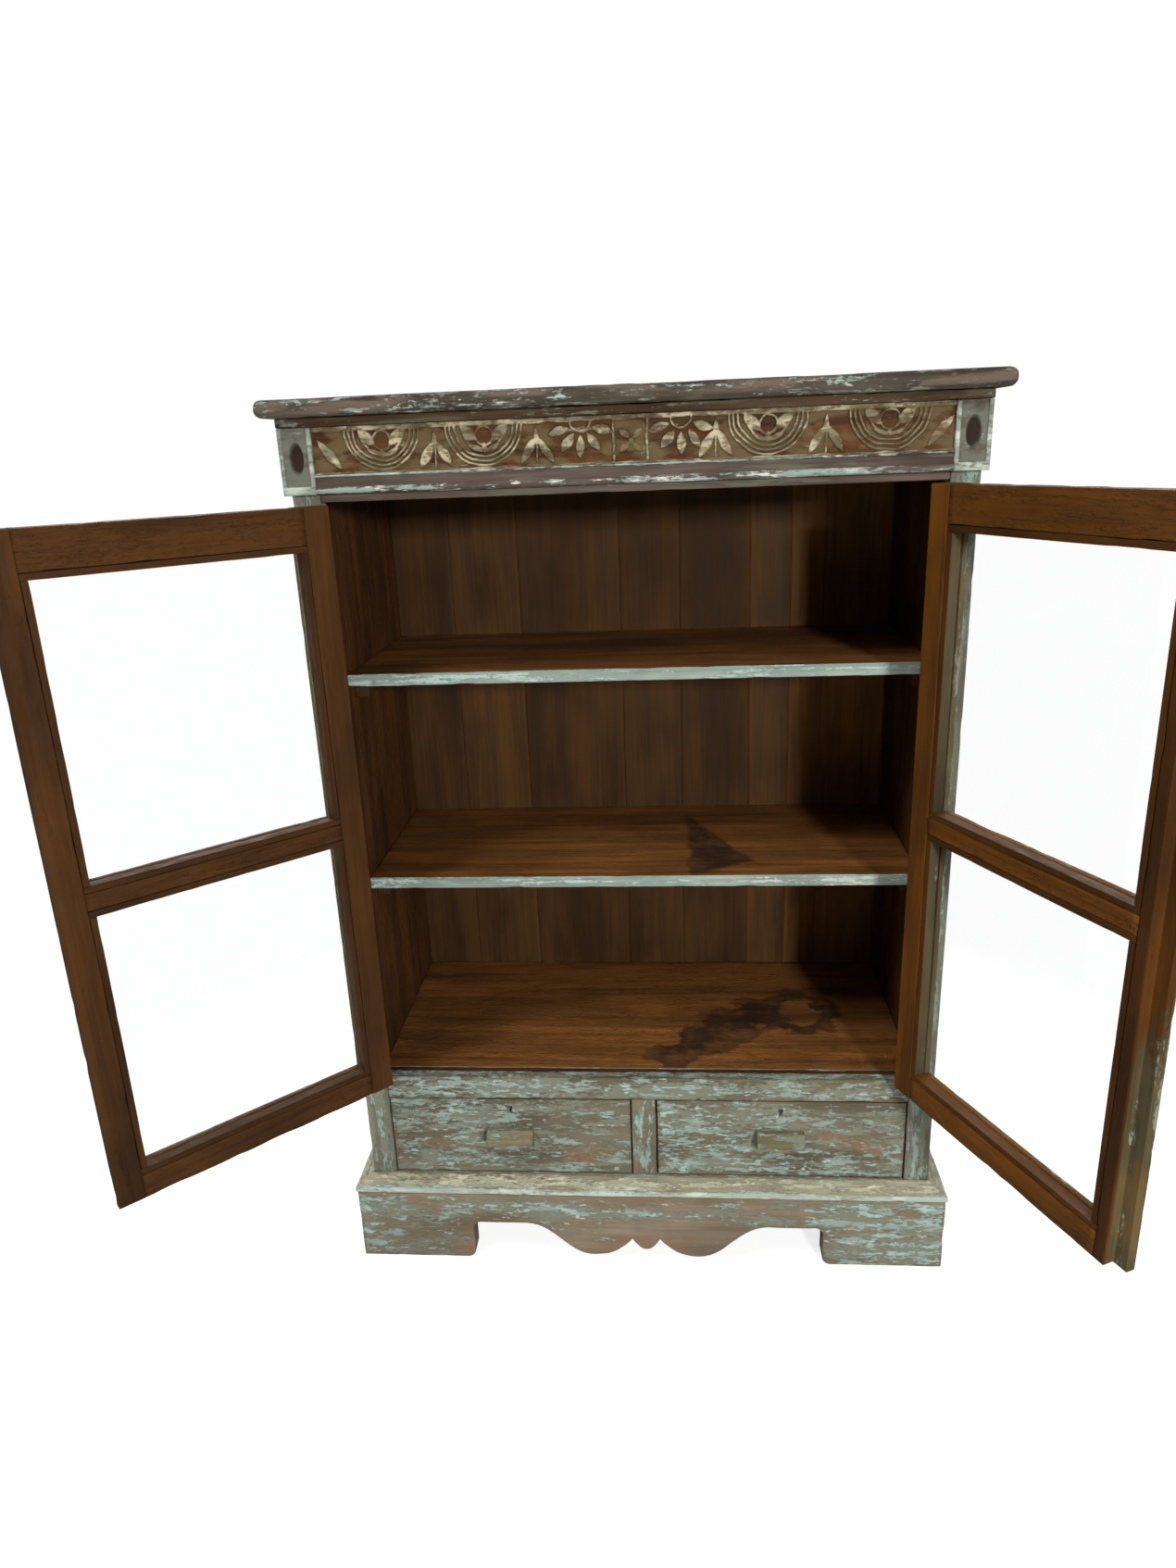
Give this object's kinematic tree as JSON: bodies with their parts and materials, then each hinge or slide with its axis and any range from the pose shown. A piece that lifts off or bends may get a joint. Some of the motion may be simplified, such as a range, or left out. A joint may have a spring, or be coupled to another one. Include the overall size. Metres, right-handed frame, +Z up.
{
  "type": "display cabinet",
  "caption": "Free-standing painted wooden display cabinet with framed glass doors that swing, open shelves inside, drawers below and a carved frieze, on a scalloped plinth.",
  "frame": {"origin": "on the floor, at the middle of the back, where floor and wall meet", "axes": "+Z up, -Y towards the front where the doors and drawers open, +X to the right of someone facing the front"},
  "size_m": [1.1602, 0.7044, 1.2],
  "materials": {
    "painted_wood": "worn layered paint, brown-grey with turquoise and cream flecks",
    "carved_wood": "shallow carving, pale paint on a brown ground",
    "door_wood": "dark brown wood with a dull wax",
    "shelf_wood": "brown wood, stained and worn",
    "plank_wood": "dark reclaimed planks",
    "plain_wood": "bare wood",
    "glass": "clear old window glass",
    "iron": "dark oxidised iron",
    "brass": "dull aged brass"
  },
  "bodies": {
    "carcass": {"back_planks": "plank_wood", "base_board": "plain_wood", "base_moulding": "painted_wood", "bead_moulding": "painted_wood", "cabinet_floor": "shelf_wood", "corner_blocks": "painted_wood", "cornice_fillet": "painted_wood", "drawer_divider": "painted_wood", "drawer_guides": "plain_wood", "drawer_partition": "plain_wood", "floor_rail": "painted_wood", "frame_hinge_leaves_left": "iron", "frame_hinge_leaves_right": "iron", "frieze_panel": "carved_wood", "frieze_returns": "painted_wood", "front_stile_left": "painted_wood", "front_stile_right": "painted_wood", "hinge_pins": "iron", "lower_rail": "painted_wood", "plinth_apron": "painted_wood", "plinth_back": "plain_wood", "plinth_corner_blocks": "plain_wood", "plinth_sides": "painted_wood", "shelf_cleats": "shelf_wood", "shelf_lower": "shelf_wood", "shelf_upper": "shelf_wood", "side_panel_left": "painted_wood", "side_panel_right": "painted_wood", "top_board": "painted_wood", "top_rail": "painted_wood"},
    "left_door": {"left_door_bottom_rail": "door_wood", "left_door_glass_panes": "glass", "left_door_glazing_beads": "door_wood", "left_door_hinge_leaves": "iron", "left_door_hinge_stile": "door_wood", "left_door_knob": "brass", "left_door_meeting_stile": "door_wood", "left_door_middle_rail": "door_wood", "left_door_top_rail": "door_wood"},
    "right_door": {"right_door_bottom_rail": "door_wood", "right_door_glass_panes": "glass", "right_door_glazing_beads": "door_wood", "right_door_hinge_leaves": "iron", "right_door_hinge_stile": "door_wood", "right_door_knob": "brass", "right_door_meeting_stile": "door_wood", "right_door_middle_rail": "door_wood", "right_door_top_rail": "door_wood"},
    "left_drawer": {"left_drawer_back": "plain_wood", "left_drawer_bottom": "plain_wood", "left_drawer_front": "painted_wood", "left_drawer_pull": "painted_wood", "left_drawer_sides": "plain_wood"},
    "right_drawer": {"right_drawer_back": "plain_wood", "right_drawer_bottom": "plain_wood", "right_drawer_front": "painted_wood", "right_drawer_pull": "painted_wood", "right_drawer_sides": "plain_wood"}
  },
  "joints": [
    {"name": "left_door_hinge", "type": "hinge", "parent": "carcass", "child": "left_door", "pos_m": [-0.3645, -0.3614, 0.2944], "axis": [0, 0, -1], "range_deg": [-136, 34]},
    {"name": "right_door_hinge", "type": "hinge", "parent": "carcass", "child": "right_door", "pos_m": [0.3645, -0.3614, 0.2944], "axis": [0, 0, 1], "range_deg": [-115.3, 54.7]},
    {"name": "left_drawer_slide", "type": "slide", "parent": "carcass", "child": "left_drawer", "axis": [0, -1, 0], "range_m": [0, 0.24]},
    {"name": "right_drawer_slide", "type": "slide", "parent": "carcass", "child": "right_drawer", "axis": [0, -1, 0], "range_m": [0, 0.24]}
  ]
}
